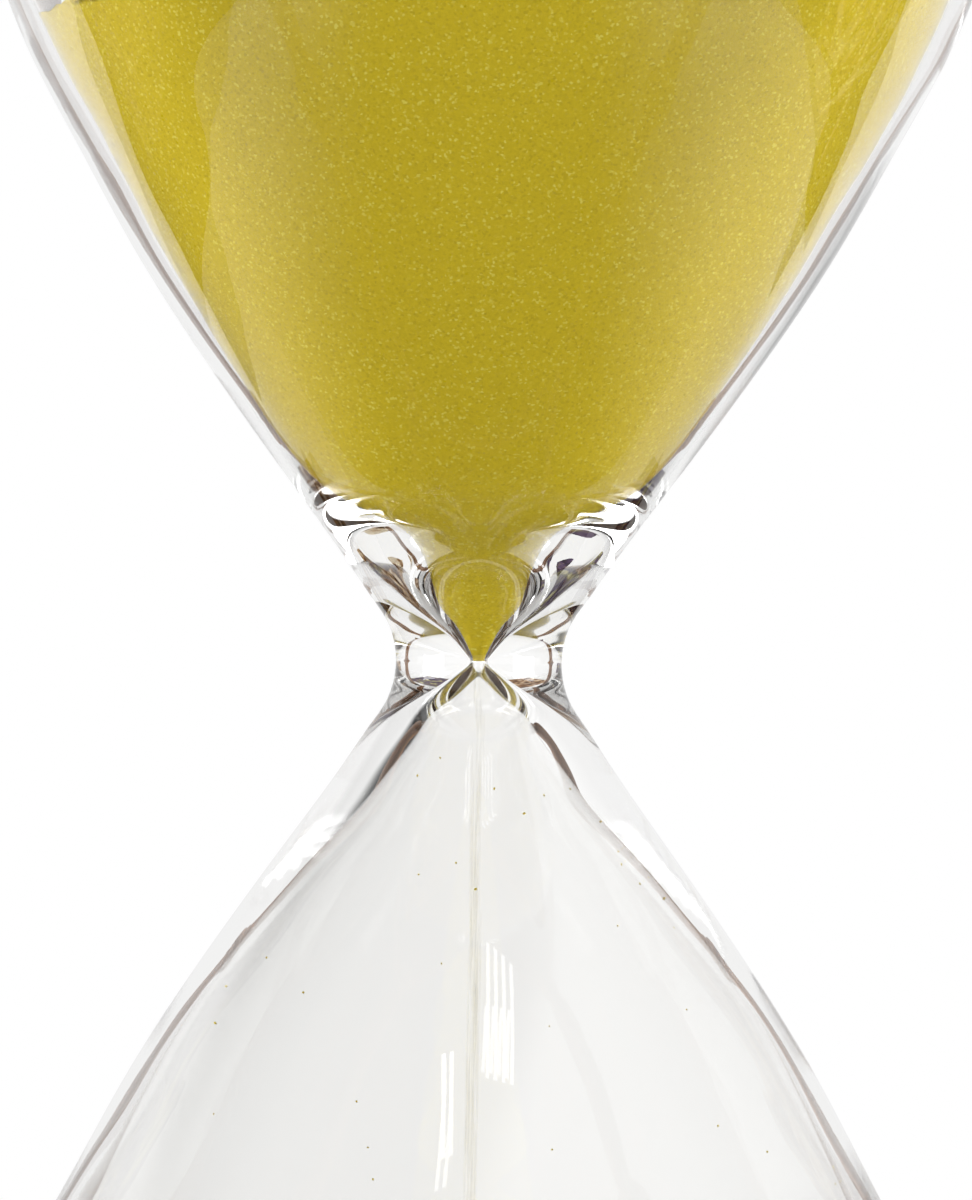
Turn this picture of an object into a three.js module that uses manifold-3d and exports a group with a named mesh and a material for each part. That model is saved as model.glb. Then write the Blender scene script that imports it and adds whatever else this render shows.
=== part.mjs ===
// Hourglass: a lamp-blown glass with two bulbs, filled with dyed sand, held between two square
// walnut plates by four turned posts. Millimetres, +Z up, standing on the felt disc of the lower
// plate, with the origin in the middle of that face.
import * as THREE from "three";
import { mergeVertices } from "three/addons/utils/BufferGeometryUtils.js";
import Module from "manifold-3d";

const wasm = await Module();
wasm.setup();

// ---- Driving dimensions ----------------------------------------------------------------------

// The glass is measured from the middle of its neck, upwards and downwards.
const glass = {
  halfLength: 88, // neck to the flat end
  bellyRadius: 38,
  bellyHeight: 65, // neck to the widest place
  endFlatRadius: 15,
  lowerSpread: 0.97, // the lower bulb was blown a little narrower than the upper one
  wall: 1.3,
  endWall: 2.2,
  throatRadius: 0.42, // the hole that times the sand
  fillHoleRadius: 4, // in the upper end, where the sand went in
  segments: 28,
};

// Radius and height of the outside, from the waist up the straight flank to the belly.
const outerFlank = [
  [5.8, 0],
  [6.4, 2.66],
  [7.55, 4.4],
  [9.95, 7.85],
  [14.5, 14],
  [20.1, 21.8],
  [24.7, 28.9],
  [28.6, 35.9],
  [31.9, 42],
  [34.2, 47.5],
  [37, 56],
  [glass.bellyRadius, glass.bellyHeight],
];

// Radius and height of the bore, from the throat to where the funnel meets the even wall. The
// upper funnel is slim at the throat and flares; the lower one is nearly a straight cone.
const upperFunnel = [
  [glass.throatRadius, 0],
  [0.66, 0.9],
  [1.3, 2.2],
  [2.25, 3.6],
  [3.6, 5.2],
  [5.5, 7],
  [7.9, 9],
  [10.7, 11.4],
  [13.7, 15],
];
const lowerFunnel = [
  [glass.throatRadius, 0],
  [0.92, 0.9],
  [1.85, 2.2],
  [2.95, 3.6],
  [4.3, 5.2],
  [5.8, 7],
  [7.5, 9],
  [9.65, 11.4],
  [12.75, 15],
];
const evenWallFrom = 19; // height where the bore starts to run along the outside
const flankSteps = 13;
const shoulderSteps = 4;

const plate = {
  width: 108,
  cornerRadius: 7,
  slab: 5, // the square-edged part next to the table
  moulding: 7, // the stepped-in part above it, with the rounded edge
  step: 3.5,
  round: 3.5,
  feltRebate: 1,
};
plate.thickness = plate.slab + plate.moulding;

const seat = { depth: 6, clearance: 0.5, washerThickness: 1.7, washerRadius: 17, washerHole: 6.6 };

const post = { offset: 45, tenonRadius: 4, tenonLength: 4.8, segments: 12, boreDepth: 17 };

const screw = {
  headRadius: 3.6,
  headHeight: 2.3,
  headRim: 0.4, // the straight edge of the head, above its cone
  shankRadius: 1.75,
  length: 22,
  slotWidth: 0.9,
  slotDepth: 0.9,
};

const felt = { radius: 40, thickness: 2 };

const stopper = { headRadius: 5.6, headHeight: 1.4, topRadius: 3.8, tipRadius: 3.5, length: 6.5 };

const sand = {
  wallGap: 0.3,
  level: 45.9, // height of the surface above the neck, on the axis
  tilt: 3, // degrees that the surface leans since the glass was turned over
  pileRadius: 11,
  pileHeight: 6.2,
  streamRadius: 0.3,
};

const gap = 0.15; // between pieces that touch on the real object

// Heights above the neck that follow from the dimensions above.
const seatFloor = glass.halfLength + seat.washerThickness + 2 * gap;
const plateInner = seatFloor - seat.depth;
const plateOuter = plateInner + plate.thickness;
const feltOuter = plateOuter - plate.feltRebate + gap + felt.thickness;

// ---- Helpers ---------------------------------------------------------------------------------

const v2 = ([r, z]) => new THREE.Vector2(r, z);

// A closed mesh as a manifold-3d solid.
function solidOf(geometry) {
  const bare = geometry.clone();
  for (const name of Object.keys(bare.attributes)) {
    if (name !== "position") bare.deleteAttribute(name);
  }
  const merged = mergeVertices(bare, 1e-4);
  return new wasm.Manifold(
    new wasm.Mesh({
      numProp: 3,
      vertProperties: merged.attributes.position.array,
      triVerts: new Uint32Array(merged.index.array),
    }),
  );
}

function geometryOf(solid) {
  const mesh = solid.getMesh();
  const geometry = new THREE.BufferGeometry();
  geometry.setAttribute("position", new THREE.BufferAttribute(mesh.vertProperties, 3));
  geometry.setIndex(new THREE.BufferAttribute(mesh.triVerts, 1));
  geometry.computeVertexNormals();
  return geometry;
}

// A turned shape: the profile is [radius, z] from its lowest point on the axis to its highest.
function turned(profile, segments) {
  return new THREE.LatheGeometry(profile.map(v2), segments).rotateX(Math.PI / 2);
}

function disc(radius, from, to, segments) {
  return turned([[0, from], [radius, from], [radius, to], [0, to]], segments);
}

// The shape turned over end for end, about the X axis.
const turnedOver = (geometry) => geometry.clone().rotateX(Math.PI);

// ---- Glass -----------------------------------------------------------------------------------

const bellyToEnd = glass.halfLength - glass.bellyHeight;

// The shoulder: a quarter turn from the belly to the flat end, drawn in by the given distance.
function shoulder(spread, inset, endInset) {
  const wide = glass.bellyRadius * spread - glass.endFlatRadius - inset;
  const high = bellyToEnd - endInset;
  return Array.from({ length: shoulderSteps + 1 }, (_, i) => {
    const angle = (i / shoulderSteps) * (Math.PI / 2);
    return [
      glass.endFlatRadius + wide * Math.cos(angle),
      glass.bellyHeight + high * Math.sin(angle),
    ];
  });
}

const spreadOf = (radius, spread) => glass.throatRadius + (radius - glass.throatRadius) * spread;

function outerHalf(spread) {
  const waist = outerFlank[0][0];
  const flank = outerFlank.map(([r, z]) => [waist + (r - waist) * spread, z]);
  flank[flank.length - 1][0] = glass.bellyRadius * spread;
  const curve = new THREE.SplineCurve(flank.map(v2));
  return [
    ...curve.getPoints(flankSteps).map((p) => [p.x, p.y]),
    ...shoulder(spread, 0, 0).slice(1),
  ];
}

function innerHalf(funnel, spread) {
  const outside = new THREE.SplineCurve(outerFlank.map(v2));
  const evenWall = outside
    .getPoints(flankSteps)
    .map((p, i) => [p, outside.getTangent(i / flankSteps)])
    .filter(([p]) => p.y > evenWallFrom)
    .map(([p, along]) => [p.x - glass.wall * along.y, p.y + glass.wall * along.x]);
  const bore = [...funnel, ...evenWall.slice(0, -1)];
  const narrowed = bore.map(([r, z]) => [spreadOf(r, z > evenWallFrom ? spread : 1), z]);
  return [...narrowed, ...shoulder(spread, glass.wall, glass.endWall)];
}

const below = (half) => half.map(([r, z]) => [r, -z]).reverse();

const upperBore = innerHalf(upperFunnel, 1);
const lowerBore = innerHalf(lowerFunnel, glass.lowerSpread);

function blownGlass() {
  const outside = [...below(outerHalf(glass.lowerSpread)), ...outerHalf(1).slice(1)];
  const bore = [...below(lowerBore), ...upperBore.slice(1)];
  const fillHole = [
    [glass.fillHoleRadius, glass.halfLength],
    [glass.fillHoleRadius, glass.halfLength - glass.endWall],
  ];
  return turned(
    [
      [0, -glass.halfLength],
      ...outside,
      ...fillHole,
      ...bore.reverse(),
      [0, glass.endWall - glass.halfLength],
    ],
    glass.segments,
  );
}

// ---- Sand ------------------------------------------------------------------------------------

// The bore drawn in by the gap that keeps the sand clear of the glass.
const insideBore = (half) =>
  half.map(([r, z], i) => {
    const [r0, z0] = half[Math.max(i - 1, 0)];
    const [r1, z1] = half[Math.min(i + 1, half.length - 1)];
    const step = Math.hypot(r1 - r0, z1 - z0);
    const share = Math.min(1, r / 3); // less at the throat, where there is no room for it
    return [
      r - (sand.wallGap * share * (z1 - z0)) / step,
      z + (sand.wallGap * share * (r1 - r0)) / step,
    ];
  });

// A heap of dry sand at its angle of repose, standing on z = 0, with a slightly blunt top.
function heap() {
  const { pileRadius: radius, pileHeight: height } = sand;
  return turned(
    [
      [0, 0],
      [radius, 0],
      [radius * 0.8, height * 0.16],
      [radius * 0.5, height * 0.45],
      [radius * 0.2, height * 0.79],
      [radius * 0.08, height * 0.95],
      [0, height],
    ],
    20,
  );
}

const pileFoot = -glass.halfLength + glass.endWall + gap;
const fallenPile = () => heap().translate(0, 0, pileFoot);

// The sand still in the upper bulb, cut off at its leaning surface. The pit above the throat is
// as big as the heap below, because that is the sand that has run out of it.
function upperSand() {
  const body = insideBore(upperBore).filter(([, z]) => z < sand.level + 6);
  const filled = turned([[0, body[0][1]], ...body, [0, body.at(-1)[1]]], glass.segments);
  const lean = THREE.MathUtils.degToRad(-sand.tilt);
  const air = new THREE.BoxGeometry(100, 100, 40).translate(0, 0, 20);
  const cuts = [air, heap().rotateX(Math.PI).translate(0, 0, gap)];
  let solid = solidOf(filled);
  for (const cut of cuts) {
    solid = solid.subtract(solidOf(cut.rotateY(lean).translate(0, 0, sand.level)));
  }
  return geometryOf(solid);
}

const fallingStream = () =>
  disc(sand.streamRadius, pileFoot + sand.pileHeight + 2 * gap, -3 * gap, 10);

// ---- Frame -----------------------------------------------------------------------------------

function roundedSquare(width, radius) {
  const half = width / 2;
  const shape = new THREE.Shape();
  shape.moveTo(half, half - radius);
  for (const quarter of [0, 1, 2, 3]) {
    const from = (quarter * Math.PI) / 2;
    const [c, s] = [Math.round(Math.cos(from)), Math.round(Math.sin(from))];
    const near = half - radius;
    shape.absarc(near * (c - s), near * (c + s), radius, from, from + Math.PI / 2, false);
  }
  return shape;
}

// The upper plate as it lies in the assembly, with everything bored into it.
function boredPlate() {
  const slab = new THREE.ExtrudeGeometry(roundedSquare(plate.width, plate.cornerRadius), {
    depth: plate.slab,
    bevelEnabled: false,
    curveSegments: 4,
  }).translate(0, 0, plateOuter - plate.slab);
  const inset = plate.step + plate.round;
  const fusedIn = 1; // how far the moulding runs up into the slab
  const moulding = new THREE.ExtrudeGeometry(
    roundedSquare(plate.width - 2 * inset, plate.cornerRadius - plate.step),
    {
      depth: plate.moulding + fusedIn - plate.round,
      bevelThickness: plate.round,
      bevelSize: plate.round,
      bevelSegments: 3,
      curveSegments: 4,
    },
  ).translate(0, 0, plateInner + plate.round);
  let solid = solidOf(slab).add(solidOf(moulding));

  const recessAt = plateInner - glass.bellyHeight;
  const recessRadius =
    glass.endFlatRadius +
    (glass.bellyRadius - glass.endFlatRadius) * Math.sqrt(1 - (recessAt / bellyToEnd) ** 2) +
    seat.clearance;
  const cuts = [
    disc(recessRadius, plateInner - 1, seatFloor, 36),
    disc(felt.radius + gap, plateOuter - plate.feltRebate, plateOuter + 1, 36),
  ];
  const socketFloor = plateInner + post.tenonLength + gap;
  for (const [x, y] of postPlaces) {
    cuts.push(
      disc(post.tenonRadius + gap, plateInner - 1, socketFloor, post.segments).translate(x, y, 0),
      turned(
        [
          [0, plateInner],
          [screw.shankRadius + gap, plateInner],
          [screw.shankRadius + gap, plateOuter - screw.headHeight - 2 * gap],
          [screw.headRadius + gap, plateOuter - screw.headRim - 2 * gap],
          [screw.headRadius + gap, plateOuter + 1],
          [0, plateOuter + 1],
        ],
        12,
      ).translate(x, y, 0),
    );
  }
  for (const cut of cuts) solid = solid.subtract(solidOf(cut));
  return geometryOf(solid);
}

const postPlaces = [
  [-post.offset, -post.offset],
  [post.offset, -post.offset],
  [post.offset, post.offset],
  [-post.offset, post.offset],
];

// Half of a post's turning: [radius, height above the middle], as shares of the free length.
const postTurning = [
  [5.4, 0],
  [5.4, 0.018],
  [4.2, 0.03],
  [4.2, 0.045],
  [3.1, 0.075],
  [3.6, 0.24],
  [4.6, 0.45],
  [5.3, 0.6],
  [5.1, 0.7],
  [3.6, 0.8],
  [3.2, 0.83],
  [4.4, 0.845],
  [4.9, 0.865],
  [4.4, 0.885],
  [3.8, 0.9],
  [5.5, 0.915],
  [5.5, 1],
];

function turnedPost() {
  const free = plateInner - gap;
  const end = free + post.tenonLength;
  const half = [
    ...postTurning.map(([r, share]) => [r, share * free]),
    [post.tenonRadius, free],
    [post.tenonRadius, end],
    [screw.shankRadius + gap, end],
    [screw.shankRadius + gap, end - post.boreDepth],
    [0, end - post.boreDepth],
  ];
  return turned([...below(half), ...half.slice(1)], post.segments);
}

function woodScrew() {
  const head = plateOuter - gap;
  const body = turned(
    [
      [0, head - screw.length],
      [0.5, head - screw.length],
      [screw.shankRadius, head - screw.length + 4],
      [screw.shankRadius, head - screw.headHeight],
      [screw.headRadius, head - screw.headRim],
      [screw.headRadius, head],
      [0, head],
    ],
    12,
  );
  const slot = new THREE.BoxGeometry(2 * screw.headRadius + 1, screw.slotWidth, 2 * screw.slotDepth);
  return geometryOf(solidOf(body).subtract(solidOf(slot.translate(0, 0, head))));
}

function seatWasher() {
  return geometryOf(
    solidOf(disc(seat.washerRadius, glass.halfLength + gap, seatFloor - gap, 32)).subtract(
      solidOf(disc(seat.washerHole, glass.halfLength, seatFloor, 24)),
    ),
  );
}

function feltDisc() {
  return disc(felt.radius, feltOuter - felt.thickness, feltOuter, 36);
}

function fillStopper() {
  const shoulderAt = glass.halfLength + gap;
  return turned(
    [
      [0, shoulderAt - stopper.length],
      [stopper.tipRadius, shoulderAt - stopper.length],
      [stopper.topRadius, shoulderAt],
      [stopper.headRadius, shoulderAt],
      [stopper.headRadius, shoulderAt + stopper.headHeight],
      [0, shoulderAt + stopper.headHeight],
    ],
    20,
  );
}

// ---- Materials and assembly ------------------------------------------------------------------

const finish = (color, roughness, metalness = 0, more = {}) =>
  new THREE.MeshStandardMaterial({ color, roughness, metalness, ...more });

const clearGlass = finish(0xf4f8f8, 0.02, 0, { transparent: true, opacity: 0.35 });
const yellowSand = finish(0xc0a52c, 0.9);
const walnut = finish(0x5b3a24, 0.4);
const brass = finish(0xc9a24d, 0.28, 1);
const greenFelt = finish(0x2f4a38, 1);
const paleFelt = finish(0xd9d2c2, 1);
const cork = finish(0xa9794c, 0.9);

const assembly = new THREE.Group();
assembly.position.z = feltOuter;

function place(name, geometry, material, [x, y] = [0, 0]) {
  const mesh = new THREE.Mesh(geometry, material);
  mesh.name = name;
  mesh.position.set(x, y, 0);
  assembly.add(mesh);
}

place("glass_bulbs", blownGlass(), clearGlass);
place("fill_stopper", fillStopper(), cork);
place("sand_upper", upperSand(), yellowSand);
place("sand_stream", fallingStream(), yellowSand);
place("sand_pile", fallenPile(), yellowSand);

const upperPlate = boredPlate();
place("plate_upper", upperPlate, walnut);
place("plate_lower", turnedOver(upperPlate), walnut);
place("seat_washer_upper", seatWasher(), paleFelt);
place("seat_washer_lower", turnedOver(seatWasher()), paleFelt);
place("felt_disc_upper", feltDisc(), greenFelt);
place("felt_disc_lower", turnedOver(feltDisc()), greenFelt);

const corners = ["front_left", "front_right", "back_right", "back_left"];
corners.forEach((corner, i) => {
  place(`post_${corner}`, turnedPost(), walnut, postPlaces[i]);
  place(`screw_upper_${corner}`, woodScrew(), brass, postPlaces[i]);
  place(`screw_lower_${corner}`, turnedOver(woodScrew()), brass, postPlaces[i]);
});

const hourglass = new THREE.Group();
hourglass.add(assembly);

export default hourglass;
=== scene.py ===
# A half-hour hourglass: one blown glass with two bulbs and dyed sand, held between two walnut plates
# by four turned posts. It is built here in the order that it is put together on the bench.
import math
import random

import bmesh
import bpy
import numpy as np
from mathutils import Matrix, Vector, noise


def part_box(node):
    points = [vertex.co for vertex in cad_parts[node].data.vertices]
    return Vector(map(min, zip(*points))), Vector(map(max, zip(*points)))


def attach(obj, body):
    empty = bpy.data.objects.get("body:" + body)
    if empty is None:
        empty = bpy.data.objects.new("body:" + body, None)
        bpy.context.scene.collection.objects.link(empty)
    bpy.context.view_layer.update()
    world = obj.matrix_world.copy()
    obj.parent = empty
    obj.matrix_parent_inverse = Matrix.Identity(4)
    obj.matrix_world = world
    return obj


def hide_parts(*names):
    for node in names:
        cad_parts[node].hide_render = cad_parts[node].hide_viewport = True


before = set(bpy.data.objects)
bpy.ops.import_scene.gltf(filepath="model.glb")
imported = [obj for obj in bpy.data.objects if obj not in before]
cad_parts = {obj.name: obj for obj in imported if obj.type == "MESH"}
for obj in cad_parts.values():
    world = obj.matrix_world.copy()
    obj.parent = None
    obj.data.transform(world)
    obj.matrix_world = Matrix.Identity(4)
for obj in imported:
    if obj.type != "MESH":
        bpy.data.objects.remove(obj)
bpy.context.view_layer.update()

MM = 0.001

# ---- Lower and upper plate ---------------------------------------------------------------------
# Each plate is a square of walnut 12 mm thick with a slab edge, a step and a quarter-round towards
# the glass. It is recessed for the glass, rebated for the felt and bored for the posts and screws.

plate_width = 108 * MM
slab_height = 5 * MM
slab_corner = 7 * MM
slab_edge = 0.9 * MM
step_in = 3.5 * MM
quarter_round = 3.5 * MM
felt_rebate = (40.15 * MM, 1 * MM)
glass_recess = (28.2 * MM, 6 * MM)
post_socket = (4.15 * MM, 4.95 * MM)
screw_hole = 1.9 * MM
countersink = (3.75 * MM, 0.6 * MM, 2.6 * MM)
eased = 0.25 * MM


def arc(middle, radius, start, end, steps):
    """Points of a circular arc, in degrees, as (across, up) pairs."""
    turns = np.radians(np.linspace(start, end, steps + 1))
    return [(middle[0] + radius * math.cos(t), middle[1] + radius * math.sin(t)) for t in turns]


def rounded_square(half, corner, steps=10):
    """The outline of a square with round corners, anticlockwise."""
    points = []
    for quarter in range(4):
        start = 90 * quarter
        way = [(1, 1), (-1, 1), (-1, -1), (1, -1)][quarter]
        middle = ((half - corner) * way[0], (half - corner) * way[1])
        points += arc(middle, corner, start, start + 90, steps)
    return points


def strip_between(bm, lower, upper):
    """Faces between two closed rings of as many vertices."""
    for i in range(len(lower)):
        k = (i + 1) % len(lower)
        bm.faces.new((lower[i], lower[k], upper[k], upper[i]))


def ring_of(bm, points, z):
    return [bm.verts.new((x, y, z)) for x, y in points]


def bored(bm, place, outline, sides=40):
    """The wall of a round hole whose outline is (radius, height) pairs. Returns its two rim rings."""
    rings = []
    for radius, z in outline:
        circle = arc(place, radius, 0, 360, sides)[:-1]
        rings.append(ring_of(bm, circle, z))
    for first, second in zip(rings, rings[1:]):
        strip_between(bm, second, first)
    return rings[0], rings[-1]


def edges_round(bm, ring):
    return [bm.edges.get((ring[i], ring[(i + 1) % len(ring)])) for i in range(len(ring))]


def new_piece(name, bm, sharp=35):
    """Turns a bmesh into an object, smooth except across edges sharper than the angle."""
    bmesh.ops.recalc_face_normals(bm, faces=bm.faces)
    mesh = bpy.data.meshes.new(name)
    bm.to_mesh(mesh)
    bm.free()
    mesh.polygons.foreach_set("use_smooth", [True] * len(mesh.polygons))
    if sharp:
        mesh.set_sharp_from_angle(angle=math.radians(sharp))
    piece = bpy.data.objects.new(name, mesh)
    bpy.context.scene.collection.objects.link(piece)
    return piece


def square_plate(name, outer, inner):
    """A plate whose outer face is at height outer and whose face to the glass is at inner."""
    way = 1 if outer > inner else -1
    half = plate_width / 2
    sections = [(slab_edge - x, outer - way * (slab_edge - y), slab_corner - slab_edge + x)
                for x, y in arc((0, 0), slab_edge, 90, 0, 4)]
    low = outer - way * slab_height
    sections += [(slab_edge - x, low + way * (slab_edge + y), slab_corner - slab_edge + x)
                 for x, y in arc((0, 0), slab_edge, 0, -90, 4)]
    sections += [(step_in, low, slab_corner)]
    turn = inner + way * quarter_round
    for x, y in arc((0, 0), quarter_round, 0, -90, 10):
        inset = step_in + quarter_round - x
        sections.append((inset, turn + way * y, slab_corner - (quarter_round - x)))
    bm = bmesh.new()
    rings = [ring_of(bm, rounded_square(half - d, corner), z) for d, z, corner in sections]
    for first, second in zip(rings, rings[1:]):
        strip_between(bm, first, second)

    outer_rims, inner_rims = [rings[0]], [rings[-1]]
    radius, depth = felt_rebate
    rim, floor = bored(bm, (0, 0), [(radius, outer), (radius, outer - way * depth)], 96)
    outer_rims.append(rim)
    bm.faces.new(floor)
    radius, depth = glass_recess
    rim, floor = bored(bm, (0, 0), [(radius + eased, inner), (radius, inner + way * eased),
                                    (radius, inner + way * depth)], 96)
    inner_rims.append(rim)
    bm.faces.new(floor)
    wide, head, cone = countersink
    for place in post_places:
        rim, far = bored(bm, place, [
            (post_socket[0] + eased, inner), (post_socket[0], inner + way * eased),
            (post_socket[0], inner + way * post_socket[1]), (screw_hole, inner + way * post_socket[1]),
            (screw_hole, outer - way * cone), (wide, outer - way * head), (wide, outer - way * eased),
            (wide + eased, outer)])
        inner_rims.append(rim)
        outer_rims.append(far)
    for rims in (outer_rims, inner_rims):
        edges = [e for ring in rims for e in edges_round(bm, ring)]
        bmesh.ops.triangle_fill(bm, use_beauty=True, edges=edges)
    return new_piece(name, bm, 30)


def shader_of(name):
    """A new material with its Principled shader, and a short way to add and link nodes."""
    material = bpy.data.materials.new(name)
    material.use_nodes = True
    tree = material.node_tree
    return material, tree, tree.nodes["Principled BSDF"]


def add_node(tree, kind, inputs=None, **settings):
    """Adds a node. inputs maps a socket's name or number to a value or to another node's socket."""
    node = tree.nodes.new(kind)
    for name, value in settings.items():
        setattr(node, name, value)
    for key, value in (inputs or {}).items():
        if isinstance(value, bpy.types.NodeSocket):
            tree.links.new(value, node.inputs[key])
        else:
            node.inputs[key].default_value = value
    return node


def colour_steps(tree, factor, steps):
    """A colour ramp with (place, colour) steps."""
    ramp = add_node(tree, "ShaderNodeValToRGB", {"Fac": factor})
    ramp.color_ramp.elements.remove(ramp.color_ramp.elements[1])
    for i, (place, colour) in enumerate(steps):
        element = ramp.color_ramp.elements[0] if i == 0 else ramp.color_ramp.elements.new(place)
        element.position = place
        element.color = (*colour, 1)
    return ramp.outputs["Color"]


def walnut(name, along, seed):
    """Oiled walnut. along is the direction of the grain, 0, 1 or 2, and seed is where in the log."""
    material, tree, shader = shader_of(name)
    place = add_node(tree, "ShaderNodeTexCoord").outputs["Object"]
    stretch = [1.0, 1.0, 1.0]
    stretch[along] = 0.06
    moved = add_node(tree, "ShaderNodeMapping", {"Vector": place, "Location": seed, "Scale": stretch})
    bend = add_node(tree, "ShaderNodeTexNoise", {"Vector": moved.outputs[0], "Scale": 24.0, "Detail": 4.0})
    rings = add_node(tree, "ShaderNodeTexWave", {
        "Vector": moved.outputs[0], "Scale": 34.0, "Distortion": 9.0, "Detail": 5.0,
        "Detail Scale": 1.1, "Detail Roughness": 0.62}, wave_type="RINGS",
        rings_direction="XYZ"[along], wave_profile="SAW")
    tone = add_node(tree, "ShaderNodeMix", {"Factor": 0.6, "A": rings.outputs["Fac"],
                                            "B": bend.outputs["Fac"]})
    heart = colour_steps(tree, tone.outputs[0], [
        (0.12, (0.085, 0.036, 0.015)), (0.42, (0.17, 0.077, 0.032)),
        (0.68, (0.26, 0.128, 0.056)), (0.92, (0.34, 0.182, 0.086))])
    fine = [1.0, 1.0, 1.0]
    fine[along] = 0.022
    fibres = add_node(tree, "ShaderNodeMapping", {"Vector": place, "Location": seed, "Scale": fine})
    pores = add_node(tree, "ShaderNodeTexNoise", {"Vector": fibres.outputs[0], "Scale": 2600.0,
                                                  "Detail": 2.0, "Roughness": 0.55})
    open_pores = add_node(tree, "ShaderNodeMapRange", {"Value": pores.outputs["Fac"], "From Min": 0.60,
                                                       "From Max": 0.70, "To Min": 0.0, "To Max": 1.0})
    streaks = add_node(tree, "ShaderNodeTexNoise", {"Vector": fibres.outputs[0], "Scale": 900.0,
                                                    "Detail": 4.0})
    lift = add_node(tree, "ShaderNodeMapRange", {"Value": streaks.outputs["Fac"], "From Min": 0.3,
                                                 "From Max": 0.7, "To Min": 0.82, "To Max": 1.16})
    streaked = add_node(tree, "ShaderNodeMix", {"Factor": 1.0, "A": heart, "B": lift.outputs[0]},
                        data_type="RGBA", blend_type="MULTIPLY")
    dark = add_node(tree, "ShaderNodeMix", {"Factor": open_pores.outputs[0], "A": streaked.outputs[2],
                                            "B": (0.038, 0.016, 0.008, 1)}, data_type="RGBA")
    tree.links.new(dark.outputs[2], shader.inputs["Base Color"])
    rough = add_node(tree, "ShaderNodeMapRange", {"Value": tone.outputs[0], "To Min": 0.46, "To Max": 0.34})
    tree.links.new(rough.outputs[0], shader.inputs["Roughness"])
    depth = add_node(tree, "ShaderNodeMath", {0: streaks.outputs["Fac"], 1: open_pores.outputs[0]},
                     operation="SUBTRACT")
    bump = add_node(tree, "ShaderNodeBump", {"Height": depth.outputs[0], "Strength": 0.35,
                                             "Distance": 0.00006})
    tree.links.new(bump.outputs[0], shader.inputs["Normal"])
    shader.inputs["Coat Weight"].default_value = 0.12
    shader.inputs["Coat Roughness"].default_value = 0.3
    return material


def made_from(piece, material, node):
    """Finishes a piece: its material, the CAD node it stands for, and the body it rides on."""
    piece.data.materials.clear()
    piece.data.materials.append(material)
    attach(piece, "root")
    if node:
        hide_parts(node)
    return piece


corner_names = ["front_left", "front_right", "back_right", "back_left"]
post_places = []
for corner in corner_names:
    low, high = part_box("post_" + corner)
    post_places.append(((low.x + high.x) / 2, (low.y + high.y) / 2))

for side, outer_face, seed in (("lower", 0, (0.31, 0.02, 0.013)), ("upper", 1, (0.07, 0.44, 0.029))):
    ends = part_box("plate_" + side)
    plate = square_plate("walnut_plate_" + side, ends[outer_face].z, ends[1 - outer_face].z)
    made_from(plate, walnut("walnut_" + side, 0, seed), "plate_" + side)

# ---- Posts -------------------------------------------------------------------------------------
# Four walnut posts, turned between centres: a ring in the middle, two slim vases, a bead under each
# square-shouldered end, and a round tenon glued into each plate.


def turned(name, outline, sides=48, closed=False, sharp=35):
    """A turned piece. The outline is (radius, height) pairs; a radius of 0 is a point on the axis."""
    bm = bmesh.new()
    rings = []
    for radius, z in outline:
        if radius < 1e-7:
            rings.append([bm.verts.new((0, 0, z))])
        else:
            rings.append(ring_of(bm, arc((0, 0), radius, 0, 360, sides)[:-1], z))
    pairs = list(zip(rings, rings[1:]))
    if closed:
        pairs.append((rings[-1], rings[0]))
    for first, second in pairs:
        if len(first) == len(second) == 1:
            continue
        if len(first) == 1 or len(second) == 1:
            tip, round_ring = (first[0], second) if len(first) == 1 else (second[0], first)
            for i in range(sides):
                bm.faces.new((tip, round_ring[i], round_ring[(i + 1) % sides]))
        else:
            strip_between(bm, first, second)
    return new_piece(name, bm, sharp)


def fair_curve(points, steps):
    """Points of a smooth curve, with even curvature, through the given ones."""
    known = np.array(points, float)
    gaps = np.sqrt(np.linalg.norm(np.diff(known, axis=0), axis=1))
    at = np.concatenate([[0], np.cumsum(gaps)])
    count = len(at)
    system = np.zeros((count, count))
    right = np.zeros((count, 2))
    h = np.diff(at)
    system[0, 0] = system[-1, -1] = 1
    for i in range(1, count - 1):
        system[i, i - 1:i + 2] = h[i - 1], 2 * (h[i - 1] + h[i]), h[i]
        right[i] = 6 * ((known[i + 1] - known[i]) / h[i] - (known[i] - known[i - 1]) / h[i - 1])
    bend = np.linalg.solve(system, right)
    curve = []
    for i in range(count - 1):
        for t in np.linspace(0, 1, steps, endpoint=False):
            x, y = t * h[i], (1 - t) * h[i]
            curve.append(bend[i] * y ** 3 / (6 * h[i]) + bend[i + 1] * x ** 3 / (6 * h[i])
                         + (known[i] / h[i] - bend[i] * h[i] / 6) * y
                         + (known[i + 1] / h[i] - bend[i + 1] * h[i] / 6) * x)
    return [tuple(p) for p in curve] + [tuple(known[-1])]


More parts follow.
